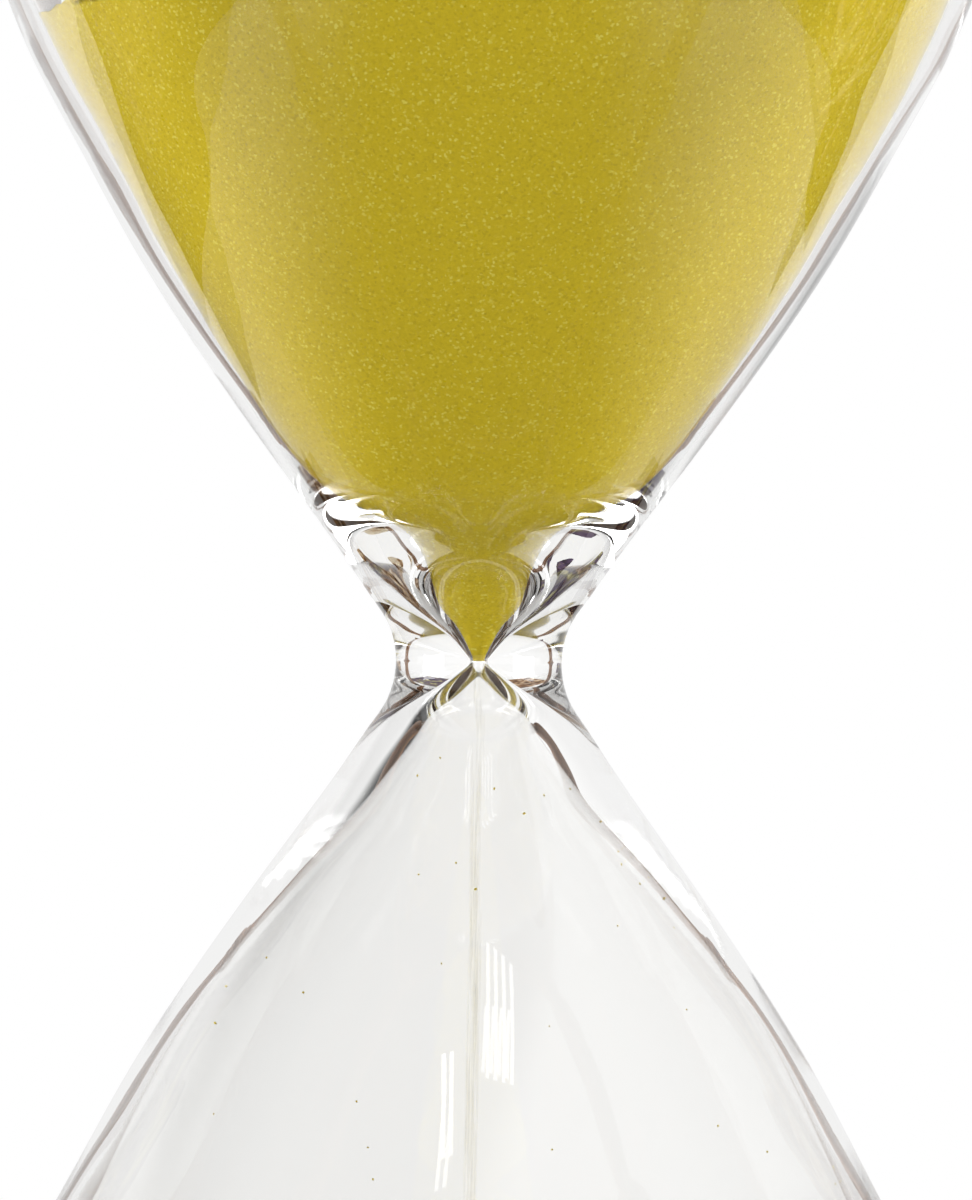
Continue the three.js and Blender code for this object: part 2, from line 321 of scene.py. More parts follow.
def baluster(free, tenon):
    """Half of a post's outline in metres, upwards from its middle. free is half the length between
    the plates and tenon is the tenon's (radius, length)."""
    ring = [(r, z) for r, z in arc((3.9, 0), 1.5, 0, 90, 6)]
    fillet = [(3.75, 1.75), (3.75, 2.9), (3.3, 3.1)]
    vase = fair_curve([(3.05, 3.4), (2.75, 6.2), (2.95, 13), (3.6, 24), (4.55, 38), (5.2, 50),
                       (5.1, 57.5), (4.0, 64.5), (3.05, 68.5), (2.95, 69.8)], 4)
    lower_fillet = [(3.6, 70.1), (3.6, 71)]
    bead = arc((3.5, 72.7), 1.45, -75, 75, 8)
    upper_fillet = [(3.7, 74.4), (3.7, 75.4), (4.6, 75.9)]
    end = arc((4.9, 77.0), 0.5, -90, 0, 3) + [(5.4, free / MM - 0.4), (5.1, free / MM)]
    outline = [(r * MM, z * MM) for r, z in ring + fillet + vase + lower_fillet + bead + upper_fillet + end]
    radius, length = tenon
    return outline + [(radius, free), (radius, free + length - 0.5 * MM),
                      (radius - 0.5 * MM, free + length), (0, free + length)]


glass_low, glass_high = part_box("glass_bulbs")
neck_z = (glass_low.z + glass_high.z) / 2
free_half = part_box("plate_upper")[0].z - neck_z
tenon_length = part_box("post_back_left")[1].z - neck_z - free_half
half_post = baluster(free_half - 0.1 * MM, (4.0 * MM, tenon_length))
post_outline = [(r, -z) for r, z in reversed(half_post)] + half_post[1:]
post_wood = walnut("walnut_posts", 2, (0.19, 0.57, 0.3))
for corner, (x, y) in zip(corner_names, post_places):
    post = turned("turned_post_" + corner, post_outline)
    post.data.transform(Matrix.Translation((x, y, neck_z)))
    made_from(post, post_wood, "post_" + corner)
    post.visible_glossy = False  # kept out of reflections in the glass, for the look alone

# ---- Glass -------------------------------------------------------------------------------------
# One piece of lamp-blown glass. The neck is left thick when it is drawn down, so the bore narrows
# in a funnel to the hole that times the sand; the walls beyond are even, and a little wavy.

belly = (glass_high.x - glass_low.x) / 2 / MM
half_length = (glass_high.z - glass_low.z) / 2 / MM
belly_height = 65.0
end_flat = 15.0
side_wall = 1.3
end_wall = 2.2
fill_hole = 4.0
lower_spread = 0.97
throat = 0.42
glass_sides = 176
outer_flank = [(5.8, 0), (6.4, 2.66), (7.55, 4.4), (9.95, 7.85), (14.5, 14.0), (20.1, 21.8), (24.7, 28.9),
               (28.6, 35.9), (31.9, 42.0), (34.2, 47.5), (37.0, 56.0)]
inner_flank = [(throat, 0), (0.66, 0.9), (1.3, 2.2), (2.25, 3.6), (3.6, 5.2), (5.5, 7.0), (7.9, 9.0),
               (10.7, 11.4), (13.7, 15.0), (18.7, 22.3), (23.2, 29.6), (27.1, 36.5), (30.4, 42.7),
               (32.8, 48.1), (35.6, 56.2)]
lower_inner_flank = [(throat, 0), (0.9, 0.9), (1.9, 2.2), (3.05, 3.6), (4.4, 5.2), (5.95, 7.0), (7.7, 9.0),
                     (9.9, 11.4), (13.1, 15.0), (18.9, 22.3), (23.6, 29.6), (27.5, 36.5), (30.6, 42.7),
                     (32.9, 48.1), (35.6, 56.2)]


def narrowed(flank, share):
    """The flank drawn in towards its radius at the neck, for the bulb that was blown narrower."""
    root = flank[0][0]
    return [(root + (r - root) * share, z) for r, z in flank]


def shoulder(wide, flat, high):
    """From the widest place of a bulb round to its flat end."""
    turn = np.radians([0, 15, 30, 45, 60, 75, 90])
    return [(flat + (wide - flat) * math.cos(t), belly_height + (high - belly_height) * math.sin(t))
            for t in turn]


def both_ways(flank_up, flank_down):
    """One curve from the lower end to the upper end."""
    return [(r, -z) for r, z in reversed(flank_down)] + flank_up[1:]


def glass_half(flank, share, wall, end):
    wide = belly if share == 1 else belly * share
    return narrowed(flank, share) + shoulder(wide - wall, end_flat, half_length - end)


outer_curve = fair_curve(both_ways(glass_half(outer_flank, 1, 0, 0),
                                   glass_half(outer_flank, lower_spread, 0, 0)), 7)
inner_curve = fair_curve(both_ways(glass_half(inner_flank, 1, side_wall, end_wall),
                                   glass_half(lower_inner_flank, lower_spread, side_wall, end_wall)), 7)


def wall_wave(x, y, z):
    """How far the inside of the wall wanders from round, in millimetres, at a place in the bulbs."""
    reach = min(1.0, max(0.0, (abs(z) - 6) / 30))
    slow = noise.noise(Vector((x / 26, y / 26, z / 34 + 7.3)))
    quick = noise.noise(Vector((x / 9 + 3.1, y / 9, z / 12)))
    fine = noise.noise(Vector((x / 3.2, y / 3.2 + 5.9, z / 3.8)))
    return reach * (0.16 * slow + 0.045 * quick + 0.011 * fine)


def blown_glass():
    rim = fill_hole
    outline = list(outer_curve)
    outline += [(rim + 0.3, half_length), (rim, half_length - 0.3), (rim, half_length - end_wall + 0.3),
                (rim + 0.3, half_length - end_wall)]
    outline += list(reversed(inner_curve))
    outline = [(0, -half_length)] + outline + [(0, -half_length + end_wall)]
    piece = turned("blown_glass", [(r * MM, z * MM) for r, z in outline], glass_sides, sharp=0)
    first_inner = 1 + (1 + len(outer_curve) + 3) * glass_sides
    last_inner = first_inner + (1 + len(inner_curve)) * glass_sides
    for vertex in piece.data.vertices[first_inner:last_inner]:
        x, y, z = vertex.co / MM
        radius = math.hypot(x, y)
        if radius > 1:
            wave = wall_wave(x, y, z) / radius
            vertex.co.x += x * wave * MM
            vertex.co.y += y * wave * MM
    piece.data.transform(Matrix.Translation((0, 0, neck_z)))
    return piece


def clear_glass():
    material, tree, shader = shader_of("clear_glass")
    shader.inputs["Base Color"].default_value = (0.998, 0.997, 0.988, 1)
    shader.inputs["Transmission Weight"].default_value = 1.0
    shader.inputs["Roughness"].default_value = 0.0
    shader.inputs["IOR"].default_value = 1.5
    return material


glass = made_from(blown_glass(), clear_glass(), "glass_bulbs")

# ---- Sand --------------------------------------------------------------------------------------
# Fine quartz sand, sieved and dyed mustard yellow. It fills the upper bulb to a leaning surface
# with a pit over the throat, falls as a thin stream and stands as a small heap on the lower end. A
# few grains lie loose round the heap or cling to the wall.

grain = 0.16
sand_gap = 0.05
sand_level = 45.9
sand_lean = math.radians(3)
heap_radius = 11.0
heap_height = 6.2
loose_grains = 260
wall_grains = 46
streaks_in_stream = 190
streak_radius = 0.09
rng = random.Random(7)


def dyed_sand(name):
    """Packed grains: each has its own shade, a few catch the light and a few are darker."""
    material, tree, shader = shader_of(name)
    place = add_node(tree, "ShaderNodeTexCoord").outputs["Object"]
    grains = add_node(tree, "ShaderNodeTexVoronoi", {"Vector": place, "Scale": 1000 / grain})
    shade = add_node(tree, "ShaderNodeSeparateColor", {"Color": grains.outputs["Color"]})
    cloud = add_node(tree, "ShaderNodeTexNoise", {"Vector": place, "Scale": 90.0, "Detail": 3.0})
    shift = add_node(tree, "ShaderNodeMapRange", {"Value": cloud.outputs["Fac"], "From Min": 0.3,
                                                  "From Max": 0.7, "To Min": -0.03, "To Max": 0.03})
    mixed = add_node(tree, "ShaderNodeMath", {0: shade.outputs["Red"], 1: shift.outputs[0]},
                     operation="ADD")
    tone = colour_steps(tree, mixed.outputs[0], [
        (0.0, (0.69, 0.51, 0.008)), (0.12, (0.77, 0.585, 0.011)), (0.5, (0.80, 0.615, 0.013)),
        (0.88, (0.83, 0.64, 0.015)), (1.0, (0.95, 0.83, 0.12))])
    tree.links.new(tone, shader.inputs["Base Color"])
    glint = add_node(tree, "ShaderNodeMapRange", {"Value": shade.outputs["Green"], "From Min": 0.9,
                                                  "From Max": 1.0, "To Min": 0.8, "To Max": 0.25})
    tree.links.new(glint.outputs[0], shader.inputs["Roughness"])
    bump = add_node(tree, "ShaderNodeBump", {"Height": grains.outputs["Distance"], "Strength": 0.25,
                                             "Distance": 0.00006}, invert=True)
    tree.links.new(bump.outputs[0], shader.inputs["Normal"])
    return material


def heap_profile(radius, height):
    """Height of a heap of dry sand at a distance from its middle, with a blunt top and a thin foot."""
    slope = max(0.0, 1 - radius / heap_radius)
    return height * (slope - 0.09 * math.exp(-(radius / 1.2) ** 2)) if slope > 0 else 0.0


def uneven(x, y, size, depth):
    return depth * noise.noise(Vector((x / size, y / size, 4.7)))


def bore_radius(z):
    """The radius of the bore at a height above the neck, in millimetres."""
    heights = [p[1] for p in inner_curve]
    return float(np.interp(z, heights, [p[0] for p in inner_curve]))


def sand_top(x, y):
    """Height of the upper sand's surface at a place, in millimetres above the neck."""
    lean = sand_level + math.tan(sand_lean) * x
    pit = heap_profile(math.hypot(x, y), heap_height)
    return lean - pit + uneven(x, y, 5, 0.35) + uneven(x, y, 0.9, 0.16) + uneven(x, y, 0.31, 0.10)


def upper_sand():
    sides = 256
    bore = [p for p in inner_curve if p[1] >= -0.1]
    side_rings = []
    for (r0, z0), (r, z), (r1, z1) in zip(bore, bore[1:], bore[2:]):
        step = math.hypot(r1 - r0, z1 - z0)
        gap = sand_gap * min(1, r / 1.5)
        side_rings.append((r - gap * (z1 - z0) / step, z + gap * (r1 - r0) / step))
    bm = bmesh.new()
    tip = bm.verts.new((0, 0, side_rings[0][1] * MM))
    last = None
    turns = [2 * math.pi * i / sides for i in range(sides)]
    for r, z in side_rings:
        if z > sand_level + 4:
            break
        ring = []
        for t in turns:
            x, y = r * math.cos(t), r * math.sin(t)
            wave = 1 + wall_wave(x, y, z) / max(r, 1)
            edge = min(z, sand_top(x, y))
            if edge < z:
                inner = bore_radius(edge) - sand_gap
                x, y = inner * math.cos(t), inner * math.sin(t)
            ring.append(bm.verts.new((x * wave * MM, y * wave * MM, edge * MM)))
        if last is None:
            for i in range(sides):
                bm.faces.new((tip, ring[(i + 1) % sides], ring[i]))
        else:
            strip_between(bm, last, ring)
        last = ring
        rim = [v.co.copy() for v in ring]
    rings = 110
    for k in range(rings - 1, 0, -1):
        share = k / rings
        ring = []
        for corner_point in rim:
            x, y = corner_point.x * share / MM, corner_point.y * share / MM
            ring.append(bm.verts.new((x * MM, y * MM, sand_top(x, y) * MM)))
        strip_between(bm, last, ring)
        last = ring
    middle = bm.verts.new((0, 0, sand_top(0, 0) * MM))
    for i in range(sides):
        bm.faces.new((middle, last[i], last[(i + 1) % sides]))
    bmesh.ops.remove_doubles(bm, verts=bm.verts, dist=1e-7)
    bmesh.ops.translate(bm, verts=bm.verts, vec=(0, 0, neck_z))
    return new_piece("sand_in_upper_bulb", bm, 0)


yellow_sand = dyed_sand("dyed_sand")
made_from(upper_sand(), yellow_sand, "sand_upper")


def grain_shape(bm, place, size, squash):
    """One grain: a small rounded lump, turned at random."""
    made = bmesh.ops.create_icosphere(bm, subdivisions=1, radius=size)
    angle = rng.uniform(0, 6.28)
    axis = Vector((rng.random() - 0.5, rng.random(), 0.3)).normalized()
    turn = Matrix.Rotation(angle, 4, axis)
    shape = Matrix.Translation(place) @ turn @ Matrix.Diagonal((1, squash, 1 / squash, 1))
    bmesh.ops.transform(bm, matrix=shape, verts=made["verts"])


def fallen_heap():
    """The heap on the floor of the lower bulb, with loose grains round its foot."""
    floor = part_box("sand_pile")[0].z
    bm = bmesh.new()
    sides, rings = 128, 70
    last = [bm.verts.new((0, 0, floor + heap_profile(0, heap_height) * MM))]
    for k in range(1, rings + 1):
        radius = heap_radius * k / rings
        ring = []
        for i in range(sides):
            t = 2 * math.pi * i / sides
            x, y = radius * math.cos(t), radius * math.sin(t)
            fade = min(1.0, (heap_radius - radius) / 1.0)
            rough = fade * (uneven(x, y, 4, 0.3) + uneven(x, y, 0.5, 0.1))
            height = heap_profile(radius, heap_height) + rough
            ring.append(bm.verts.new((x * MM, y * MM, floor + height * MM)))
        if k == 1:
            for i in range(sides):
                bm.faces.new((last[0], ring[i], ring[(i + 1) % sides]))
        else:
            strip_between(bm, last, ring)
        last = ring
    foot = bm.verts.new((0, 0, floor))
    for i in range(sides):
        bm.faces.new((foot, last[(i + 1) % sides], last[i]))
    for _ in range(loose_grains):
        away = heap_radius + abs(rng.gauss(0, 1.6))
        t = rng.uniform(0, 2 * math.pi)
        size = rng.uniform(0.07, 0.12)
        place = Vector((away * math.cos(t), away * math.sin(t), floor / MM + size)) * MM
        grain_shape(bm, place, size * MM, 0.85)
    return new_piece("sand_heap", bm, 0)


made_from(fallen_heap(), yellow_sand, "sand_pile")


def clinging_grains():
    """A few grains that static holds to the wall of the lower bulb."""
    bm = bmesh.new()
    clear_of_wall = 0.22
    for _ in range(wall_grains):
        z = -rng.uniform(7, 50)
        t = rng.uniform(0, 2 * math.pi)
        size = rng.uniform(0.05, 0.1)
        away = bore_radius(z) - size - clear_of_wall
        place = Vector((away * math.cos(t), away * math.sin(t), z)) * MM + Vector((0, 0, neck_z))
        grain_shape(bm, place, size * MM, 0.8)
    return new_piece("clinging_grains", bm, 0)


made_from(clinging_grains(), yellow_sand, None)


def falling_sand():
    """Sand on its way down: each grain is a pale see-through streak."""
    material, tree, shader = shader_of("falling_sand")
    place = add_node(tree, "ShaderNodeTexCoord").outputs["Object"]
    flicker = add_node(tree, "ShaderNodeTexNoise", {"Vector": place, "Scale": 700.0, "Detail": 2.0})
    tone = colour_steps(tree, flicker.outputs["Fac"], [(0.3, (0.62, 0.50, 0.10)), (0.7, (0.85, 0.74, 0.34))])
    tree.links.new(tone, shader.inputs["Base Color"])
    shader.inputs["Roughness"].default_value = 0.8
    shader.inputs["Alpha"].default_value = 0.026
    return material


def falling_grains():
    """The falling grains, each drawn out into the streak that it leaves in a blink as it speeds up."""
    bm = bmesh.new()
    top = -0.5
    bottom = (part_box("sand_pile")[1].z - neck_z) / MM
    for _ in range(streaks_in_stream):
        fallen = rng.random() * (top - bottom)
        length = min(2 + 0.22 * fallen, 7.0) / 2
        z = max(min(top - fallen, top - length), bottom + length)
        x, y = (max(-0.4, min(0.4, rng.gauss(0, 0.24))) for _ in range(2))
        made = bmesh.ops.create_icosphere(bm, subdivisions=2, radius=streak_radius * MM)
        drawn_out = Matrix.Diagonal((1, 1, length / streak_radius, 1))
        shape = Matrix.Translation(Vector((x * MM, y * MM, neck_z + z * MM))) @ drawn_out
        bmesh.ops.transform(bm, matrix=shape, verts=made["verts"])
    return new_piece("sand_stream_grains", bm, 0)


made_from(falling_grains(), falling_sand(), "sand_stream")

# ---- Stopper -----------------------------------------------------------------------------------
# A small tapered cork, pressed into the hole in the upper end after the sand has been weighed in.


def cork():
    material, tree, shader = shader_of("cork")
    place = add_node(tree, "ShaderNodeTexCoord").outputs["Object"]
    lumps = add_node(tree, "ShaderNodeTexVoronoi", {"Vector": place, "Scale": 900.0})
    shade = add_node(tree, "ShaderNodeSeparateColor", {"Color": lumps.outputs["Color"]})
    tone = colour_steps(tree, shade.outputs["Red"], [
        (0.0, (0.20, 0.10, 0.045)), (0.2, (0.42, 0.26, 0.13)), (1.0, (0.56, 0.37, 0.20))])
    tree.links.new(tone, shader.inputs["Base Color"])
    pits = add_node(tree, "ShaderNodeTexNoise", {"Vector": place, "Scale": 1500.0, "Detail": 3.0})
    bump = add_node(tree, "ShaderNodeBump", {"Height": pits.outputs["Fac"], "Distance": 0.0002})
    tree.links.new(bump.outputs[0], shader.inputs["Normal"])
    shader.inputs["Roughness"].default_value = 0.85
    return material


def cork_stopper():
    low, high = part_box("fill_stopper")
    head = (high.x - low.x) / 2
    top = high.z
    shoulder_z = neck_z + (half_length + 0.15) * MM
    outline = [(0, low.z), (3.1 * MM, low.z), (3.5 * MM, low.z + 0.5 * MM), (3.8 * MM, shoulder_z),
               (head - 0.3 * MM, shoulder_z), (head, shoulder_z + 0.4 * MM), (head, top - 0.4 * MM),
               (head - 0.3 * MM, top), (0, top)]
    return turned("cork_stopper", outline, 48)


made_from(cork_stopper(), cork(), "fill_stopper")

# ---- Washers and felt --------------------------------------------------------------------------
# Pressed wool felt, cut with a punch: undyed rings that the ends of the glass sit on, and dark
# green discs glued into the rebates, proud of the wood, that the hourglass stands on.


def wool_felt(name, dark, light):
    material, tree, shader = shader_of(name)
    place = add_node(tree, "ShaderNodeTexCoord").outputs["Object"]
    fluff = add_node(tree, "ShaderNodeTexNoise", {"Vector": place, "Scale": 1400.0, "Detail": 6.0,
                                                  "Roughness": 0.65, "Distortion": 2.5})
    mottle = add_node(tree, "ShaderNodeTexNoise", {"Vector": place, "Scale": 160.0, "Detail": 3.0})
    both = add_node(tree, "ShaderNodeMix", {"Factor": 0.4, "A": fluff.outputs["Fac"],
                                            "B": mottle.outputs["Fac"]})
    tree.links.new(colour_steps(tree, both.outputs[0], [(0.3, dark), (0.7, light)]),
                   shader.inputs["Base Color"])
    bump = add_node(tree, "ShaderNodeBump", {"Height": fluff.outputs["Fac"], "Strength": 0.8,
                                             "Distance": 0.0003})
    tree.links.new(bump.outputs[0], shader.inputs["Normal"])
    shader.inputs["Roughness"].default_value = 0.95
    shader.inputs["Sheen Weight"].default_value = 0.35
    shader.inputs["Sheen Roughness"].default_value = 0.5
    return material


def felt_round(name, node, hole=0.0):
    """A disc or ring of felt that fills its node's box, with soft edges and an uneven nap."""
    low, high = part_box(node)
    radius = (high.x - low.x) / 2
    soft = 0.35 * MM
    nap = 0.05 * MM
    low_z, high_z = low.z + nap, high.z - nap
    radius -= nap
    wall = arc((radius - soft, low_z + soft), soft, -90, 0, 4)
    wall += arc((radius - soft, high_z - soft), soft, 0, 90, 4)
    across = np.linspace(hole, radius - soft, 46)[:-1]
    outline = [(r, low_z) for r in across] + wall + [(r, high_z) for r in reversed(across)]
    piece = turned(name, outline, 160, closed=hole > 0, sharp=50)
    normals = [vertex.normal.copy() for vertex in piece.data.vertices]
    for vertex, out in zip(piece.data.vertices, normals):
        vertex.co += out * nap * noise.noise(vertex.co / (1.3 * MM))
    return piece


green_felt = wool_felt("green_felt", (0.006, 0.022, 0.012), (0.022, 0.062, 0.034))
washer_hole = 6.6 * MM
pale_felt = wool_felt("undyed_felt", (0.42, 0.37, 0.29), (0.66, 0.61, 0.52))
for side in ("lower", "upper"):
    made_from(felt_round("felt_" + side, "felt_disc_" + side), green_felt, "felt_disc_" + side)
    washer = "seat_washer_" + side
    made_from(felt_round("washer_" + side, washer, washer_hole), pale_felt, washer)

# ---- Screws ------------------------------------------------------------------------------------
# Slotted countersunk brass wood screws, one through each plate into the end of each post. The heads are
# faced in a lathe, so they show fine rings, and have gone a little brown in patches.


def brass():
    material, tree, shader = shader_of("brass")
    place = add_node(tree, "ShaderNodeTexCoord").outputs["Object"]
    rings = add_node(tree, "ShaderNodeTexWave", {"Vector": place, "Scale": 1300.0, "Distortion": 0.6},
                     wave_type="RINGS", rings_direction="Z")
    stain = add_node(tree, "ShaderNodeTexNoise", {"Vector": place, "Scale": 420.0, "Detail": 5.0})
    tone = colour_steps(tree, stain.outputs["Fac"], [
        (0.3, (0.32, 0.19, 0.07)), (0.5, (0.66, 0.45, 0.17)), (0.75, (0.80, 0.60, 0.27))])
    tree.links.new(tone, shader.inputs["Base Color"])
    shader.inputs["Metallic"].default_value = 1.0
    rough = add_node(tree, "ShaderNodeMapRange", {"Value": stain.outputs["Fac"], "To Min": 0.42,
                                                  "To Max": 0.2})
    tree.links.new(rough.outputs[0], shader.inputs["Roughness"])
    bump = add_node(tree, "ShaderNodeBump", {"Height": rings.outputs["Fac"], "Strength": 0.4,
                                             "Distance": 0.00002})
    tree.links.new(bump.outputs[0], shader.inputs["Normal"])
    return material


def slotted_screw(name, length, head):
    """A screw that points down from z = 0, with a slot across its head and a thread on its shank."""
    shank, root = 1.7 * MM, 1.25 * MM
    plain = 9 * MM
    outline = [(0, -length), (0.25 * MM, -length + 0.3 * MM)]
    turn = 0.9 * MM
    count = int((length - plain - 3 * MM) / turn)
    outline += [(root, -length + 3 * MM)]
    for i in range(count):
        z = -length + 3 * MM + i * turn
        outline += [(root, z + 0.1 * MM), (shank, z + 0.45 * MM), (root, z + 0.8 * MM)]
    outline += [(shank, -plain), (shank, -2.35 * MM), (head - 0.15 * MM, -0.5 * MM), (head, -0.3 * MM),
                (head, -0.12 * MM), (head - 0.12 * MM, 0), (0, 0)]
    piece = turned(name, outline, 40)
    bm = bmesh.new()
    width, depth = 0.9 * MM, 0.9 * MM
    bmesh.ops.create_cube(bm, size=1, matrix=Matrix.Diagonal((4 * head, width, 2 * depth, 1)))
    cutter = new_piece("slot_cutter", bm, 0)
    cut = piece.modifiers.new("slot", "BOOLEAN")
    cut.object = cutter
    cut.operation = "DIFFERENCE"
    cut.solver = "EXACT"
    now = bpy.context.evaluated_depsgraph_get()
    mesh = bpy.data.meshes.new_from_object(piece.evaluated_get(now))
    piece.modifiers.clear()
    piece.data = mesh
    mesh.name = name
    mesh.set_sharp_from_angle(angle=math.radians(30))
    bpy.data.objects.remove(cutter)
    return piece


screw_brass = brass()
head_radius = 3.58 * MM
for side, way in (("upper", 1), ("lower", -1)):
    for corner, (x, y) in zip(corner_names, post_places):
        node = f"screw_{side}_{corner}"
        low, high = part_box(node)
        screw = slotted_screw("brass_" + node, high.z - low.z, head_radius)
        stop = rng.uniform(0, math.pi)
        flip = Matrix.Rotation(0 if way > 0 else math.pi, 4, "X")
        screw.data.transform(flip @ Matrix.Rotation(stop, 4, "Z"))
        screw.location = (x, y, high.z if way > 0 else low.z)
        made_from(screw, screw_brass, node)

# ---- Studio ------------------------------------------------------------------------------------
# A pale round table, a bright seamless surround and two softboxes beside the camera. Dark cloths and
# coloured cards are painted reflections, and glowing windowpanes are painted highlights, there for the glass
# to pick up. They are an aid to the look and no real thing: only mirrored light meets them, and the cards
# also light through solid glass.


def pale_table():
    material, tree, shader = shader_of("pale_table")
    place = add_node(tree, "ShaderNodeTexCoord").outputs["Object"]
    haze = add_node(tree, "ShaderNodeTexNoise", {"Vector": place, "Scale": 30.0, "Detail": 2.0})
    tone = colour_steps(tree, haze.outputs["Fac"], [(0.3, (0.86, 0.86, 0.85)), (0.7, (0.9, 0.9, 0.89))])
    tree.links.new(tone, shader.inputs["Base Color"])
    shader.inputs["Roughness"].default_value = 0.7
    away = add_node(tree, "ShaderNodeVectorMath", {0: place}, operation="LENGTH")
    fade = add_node(tree, "ShaderNodeMapRange", {"Value": away.outputs["Value"], "From Min": 0.18,
                                                 "From Max": 0.45, "To Min": 1.0, "To Max": 0.0},
                    interpolation_type="SMOOTHSTEP")
    tree.links.new(fade.outputs[0], shader.inputs["Alpha"])
    return material


table = turned("pale_table", [(0, -0.0005), (0.46, -0.0005), (0.46, -0.004), (0, -0.004)], 96)
table.data.materials.append(pale_table())

scene = bpy.context.scene
world = bpy.data.worlds.new("surround")
world.use_nodes = True
scene.world = world
sky = world.node_tree
direction = add_node(sky, "ShaderNodeTexCoord").outputs["Generated"]
parts = add_node(sky, "ShaderNodeSeparateXYZ", {"Vector": direction})
behind_camera = add_node(sky, "ShaderNodeMapRange", {"Value": parts.outputs["Y"], "From Min": -0.3,
                                                     "From Max": -0.95, "To Min": 1.0, "To Max": 0.8},
                         interpolation_type="SMOOTHSTEP")
# Painted dark reflections: mirrored light also meets a dark ceiling, which leans to the left, and a slightly
# dimmer far wall, which other light does not meet.
leaning = add_node(sky, "ShaderNodeMath", {0: parts.outputs["X"], 1: -0.45, 2: parts.outputs["Z"]},
                   operation="MULTIPLY_ADD")
overhead = add_node(sky, "ShaderNodeMapRange", {"Value": leaning.outputs[0], "From Min": 0.66,
                                                "From Max": 0.82, "To Min": 0.0, "To Max": 0.95},
                    interpolation_type="SMOOTHSTEP")
in_gloss = add_node(sky, "ShaderNodeMath", {0: add_node(sky, "ShaderNodeLightPath").outputs["Glossy Depth"],
                                            1: 1.0}, operation="MINIMUM")
far_wall = add_node(sky, "ShaderNodeMapRange", {"Value": parts.outputs["Y"], "From Min": 0.6,
                                                "From Max": 0.85, "To Min": 0.0, "To Max": 0.11})
dimmer = add_node(sky, "ShaderNodeMath", {0: overhead.outputs[0], 1: far_wall.outputs[0]},
                  operation="MAXIMUM")
unlit = add_node(sky, "ShaderNodeMath", {0: dimmer.outputs[0], 1: in_gloss.outputs[0]}, operation="MULTIPLY")
surround = add_node(sky, "ShaderNodeMath", {0: behind_camera.outputs[0], 1: unlit.outputs[0]},
                    operation="SUBTRACT", use_clamp=True)
sky.nodes["Background"].inputs["Color"].default_value = (1, 1, 1, 1)
sky.links.new(surround.outputs[0], sky.nodes["Background"].inputs["Strength"])


def card_in_gloss(name, corners):
    """A card that only shows in the gloss of the glass: light that hasn't been mirrored passes it.
    Gives back its material's node tree, its shader and the value that shows or hides it."""
    bm = bmesh.new()
    bm.faces.new([bm.verts.new(Vector(c) * MM) for c in corners])
    card = new_piece(name, bm, 0)
    material, tree, shader = shader_of(name)
    shader.inputs["Roughness"].default_value = 0.8
    shader.inputs["Specular IOR Level"].default_value = 0.0
    mirrored = add_node(tree, "ShaderNodeLightPath").outputs["Glossy Depth"]
    shown = add_node(tree, "ShaderNodeMath", {0: mirrored, 1: 1.0}, operation="MINIMUM").outputs[0]
    tree.links.new(shown, shader.inputs["Alpha"])
    card.data.materials.append(material)
    card.visible_camera = card.visible_diffuse = card.visible_shadow = False
    return tree, shader, shown


def painted_dark_reflection(name, left, right, front, back, colour, soft_from=0, soft_to=0):
    """A painted dark reflection: a dark cloth on the table that only mirrored light meets, whose sides can
    fade out between two distances from the middle.
    """
    tree, shader, shown = card_in_gloss(name, [(left, front, 1), (right, front, 1), (right, back, 1),
                                               (left, back, 1)])
    shader.inputs["Base Color"].default_value = (*colour, 1)
    if soft_to:
        place = add_node(tree, "ShaderNodeTexCoord").outputs["Object"]
        across = add_node(tree, "ShaderNodeSeparateXYZ", {"Vector": place})
        side = add_node(tree, "ShaderNodeMath", {0: across.outputs["X"]}, operation="ABSOLUTE")
        fade = add_node(tree, "ShaderNodeMapRange", {"Value": side.outputs[0], "From Min": soft_from * MM,
                                                     "From Max": soft_to * MM, "To Min": 1.0, "To Max": 0.0},
                        interpolation_type="SMOOTHSTEP")
        shown = add_node(tree, "ShaderNodeMath", {0: shown, 1: fade.outputs[0]}, operation="MULTIPLY")
        tree.links.new(shown.outputs[0], shader.inputs["Alpha"])


def painted_coloured_reflection(name, corners, tones):
    """Painted reflections: a mottled card that only mirrored light meets, whose colours the solid glass of
    the neck picks up: it also shows to light that has only gone into glass once and out again. Through a
    bulb that is so only at its very edge."""
    tree, shader, shown = card_in_gloss(name, corners)
    crossings = add_node(tree, "ShaderNodeLightPath").outputs["Transmission Depth"]
    solid = add_node(tree, "ShaderNodeMath", {0: crossings, 1: 2.0, 2: 0.5}, operation="COMPARE")
    shown = add_node(tree, "ShaderNodeMath", {0: shown, 1: solid.outputs[0]}, operation="MAXIMUM")
    tree.links.new(shown.outputs[0], shader.inputs["Alpha"])
    place = add_node(tree, "ShaderNodeTexCoord").outputs["Object"]
    mottle = add_node(tree, "ShaderNodeTexNoise", {"Vector": place, "Scale": 34.0, "Detail": 2.0,
                                                   "Distortion": 1.5})
    tree.links.new(colour_steps(tree, mottle.outputs["Fac"], tones), shader.inputs["Base Color"])


def painted_window_highlight(name, middle, across, panes, wide, high):
    """Tall windowpanes high in front of the glass, which shine in it as streaks: painted highlights that
    glow though they are no lamp, and that only mirrored light meets.
    """
    for i in range(panes):
        x, y, z = middle[0] + (i - (panes - 1) / 2) * across, middle[1], middle[2]
        _, shader, _ = card_in_gloss(name + "_" + str(i), [
            (x - wide / 2, y - high / 2, z), (x + wide / 2, y - high / 2, z),
            (x + wide / 2, y + high / 2, z), (x - wide / 2, y + high / 2, z)])
        # The panes glow as painted highlights and are no lamp.
        shader.inputs["Emission Color"].default_value = (1, 1, 1, 1)
        shader.inputs["Emission Strength"].default_value = 3.0


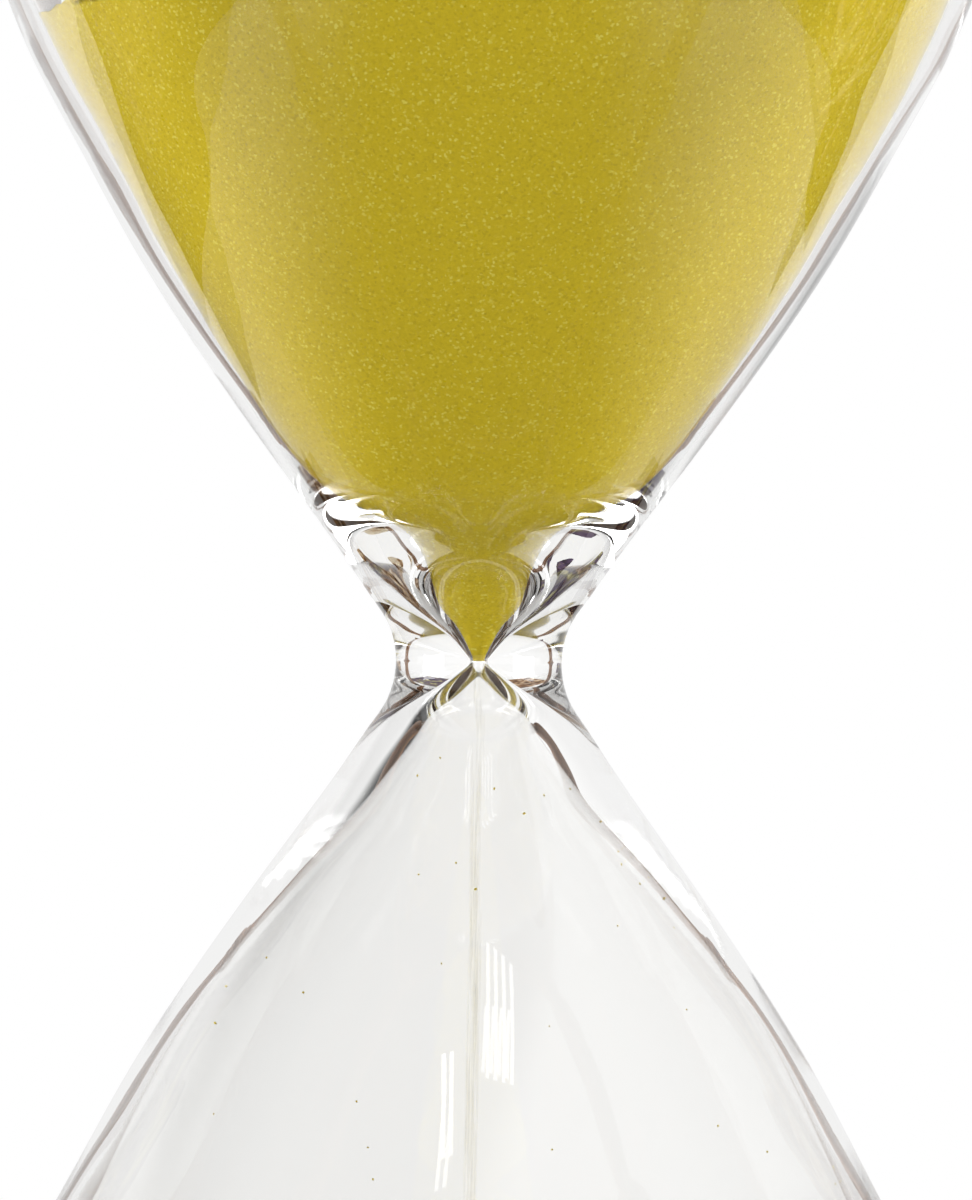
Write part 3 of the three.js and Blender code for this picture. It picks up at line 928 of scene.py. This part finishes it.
def softbox(name, azimuth, elevation, away, size, strength):
    """A square softbox that looks at the middle of the glass. Azimuth 0 is at the camera."""
    lamp = bpy.data.lights.new(name, "AREA")
    lamp.shape = "RECTANGLE"
    lamp.size, lamp.size_y = size[0] * MM, size[1] * MM
    lamp.energy = strength
    light = bpy.data.objects.new(name, lamp)
    scene.collection.objects.link(light)
    a, e = math.radians(azimuth), math.radians(elevation)
    toward = Vector((math.sin(a) * math.cos(e), -math.cos(a) * math.cos(e), math.sin(e)))
    light.location = Vector((0, 0, neck_z)) + toward * away * MM
    light.rotation_euler = toward.to_track_quat("Z", "Y").to_euler()


for name, azimuth in (("softbox_left", -66), ("softbox_right", 66)):
    softbox(name, azimuth, 0, 700, (420, 420), 3.7)

# Black of the painted dark reflections below, which only mirrored light meets.
black = (0.012, 0.011, 0.010)
painted_dark_reflection("painted_dark_under", -200, 200, -500, 40, black, 70, 190)
painted_dark_reflection("painted_dark_left", -900, -212, -300, 260, black)
painted_dark_reflection("painted_dark_right", 262, 900, -300, 260, black)
# Colours of the painted reflections that the glass and its neck show.
brown_tones = [(0.40, (0.06, 0.025, 0.012)), (0.49, (0.24, 0.115, 0.05)),
               (0.56, (0.50, 0.32, 0.17)), (0.63, (0.88, 0.76, 0.58))]
violet_tones = [(0.40, (0.045, 0.03, 0.06)), (0.50, (0.15, 0.10, 0.18)),
                (0.57, (0.17, 0.16, 0.07)), (0.65, (0.60, 0.55, 0.30))]
painted_coloured_reflection("painted_brown_reflection_lying", [(-150, 124, 2), (0, 124, 2), (0, 300, 2), (-150, 300, 2)], brown_tones)
painted_coloured_reflection("painted_violet_reflection_lying", [(0, 124, 2), (150, 124, 2), (150, 300, 2), (0, 300, 2)], violet_tones)
painted_coloured_reflection("painted_brown_reflection_standing", [(250, 15, 12), (250, 135, 12), (250, 135, 96), (250, 15, 96)],
              brown_tones)
painted_coloured_reflection("painted_violet_reflection_standing", [(-250, 15, 12), (-250, 135, 12), (-250, 135, 96), (-250, 15, 96)],
              violet_tones)
painted_window_highlight("painted_highlight_right", (78, -305, 600), 24, 4, 11, 113)
painted_window_highlight("painted_highlight_left", (-75, -393, 600), 24, 2, 12, 133)

scene.view_settings.view_transform = "Standard"
# The thick neck guides light round many times before it lets it out.
scene.cycles.max_bounces = 96
scene.cycles.transmission_bounces = 96
scene.cycles.glossy_bounces = 64
scene.cycles.diffuse_bounces = 6
scene.cycles.transparent_max_bounces = 16

# ---- Camera ------------------------------------------------------------------------------------
# Level, close up on the neck from the front, a little above it and to its right, and rolled
# slightly. Its distance and the height that it takes in give its lens.

distance = 400 * MM
picture_height = 84 * MM
eye_right, eye_above = 0.45 * MM, 4.34 * MM
eye_roll = math.radians(0.78)
camera = bpy.data.cameras.new("camera")
camera.sensor_fit = "VERTICAL"
camera.sensor_height = 36
camera.lens = 36 * distance / picture_height
camera.clip_start = 0.01
eye = bpy.data.objects.new("camera", camera)
scene.collection.objects.link(eye)
eye.location = (eye_right, -distance, neck_z + eye_above)
eye.rotation_euler = (math.radians(90), 0, 0)
eye.rotation_euler.rotate_axis("Z", eye_roll)
scene.camera = eye

bpy.context.view_layer.update()
